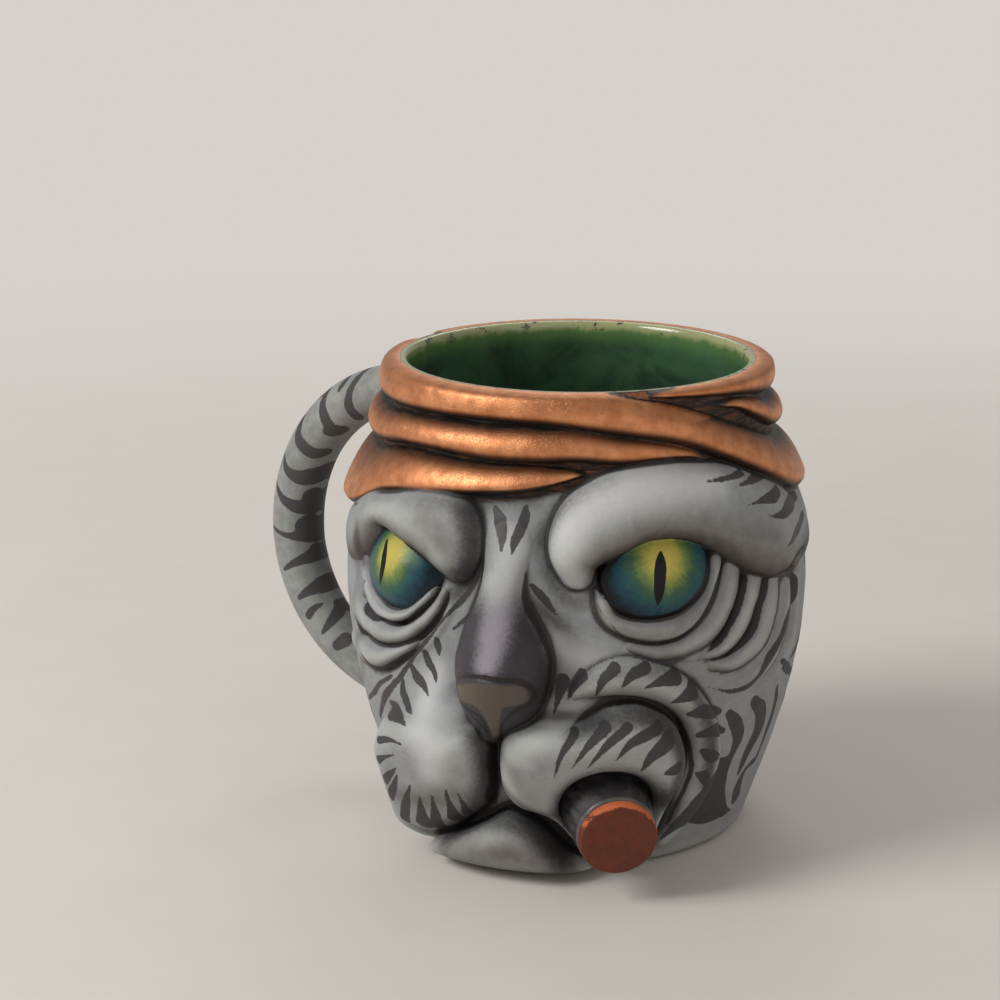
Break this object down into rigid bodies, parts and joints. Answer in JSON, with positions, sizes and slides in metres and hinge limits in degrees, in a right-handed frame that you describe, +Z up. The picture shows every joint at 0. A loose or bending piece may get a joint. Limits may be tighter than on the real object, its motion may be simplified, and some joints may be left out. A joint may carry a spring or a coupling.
{
  "type": "sculpted stoneware mug",
  "caption": "Stoneware mug shaped as a cat's head in a wound copper headscarf, with a cigar in the mouth, the tail as handle and green glaze inside.",
  "frame": {"origin": "centre of the flat foot, on the surface the mug stands on", "axes": "+Z up along the cup's axis, -Y out of the face, +X to the cat's left; the tail handle is on the cat's right"},
  "size_m": [0.1345, 0.118, 0.107],
  "materials": {
    "grey_clay": "matte cool grey paint, dark wash in the hollows and lighter on the crowns",
    "tail_paint": "matte pale grey paint with dark half rings",
    "scarf_copper": "copper metallic paint rubbed over black, fine pitting",
    "nose_paint": "satin dark grey paint, paler along the ridge",
    "eye_glaze": "glossy yellow to green and blue glaze with a black slit pupil",
    "inner_glaze": "glossy green glaze, paler at the lip",
    "cigar_wrapper": "near-black satin",
    "cigar_end": "matte red-brown with orange chips on its edge"
  },
  "bodies": {
    "root": {"cup_wall": "grey_clay", "inner_glaze": "inner_glaze", "tail_handle": "tail_paint", "scarf_top_wrap": "scarf_copper", "scarf_middle_roll": "scarf_copper", "scarf_low_roll": "scarf_copper", "scarf_back_top_roll": "scarf_copper", "scarf_back_middle_roll": "scarf_copper", "brow_left": "grey_clay", "brow_right": "grey_clay", "eye_left": "eye_glaze", "eye_right": "eye_glaze", "lid_left": "grey_clay", "lid_right": "grey_clay", "fold_left_upper": "grey_clay", "fold_left_middle": "grey_clay", "fold_left_lower": "grey_clay", "fold_right_upper": "grey_clay", "fold_right_lower": "grey_clay", "nose_bridge": "nose_paint", "nose_tip": "nose_paint", "muzzle_left": "grey_clay", "muzzle_right": "grey_clay", "cheek_left": "grey_clay", "chin": "grey_clay", "cigar_wrapper": "cigar_wrapper", "cigar_end": "cigar_end"}
  },
  "joints": []
}
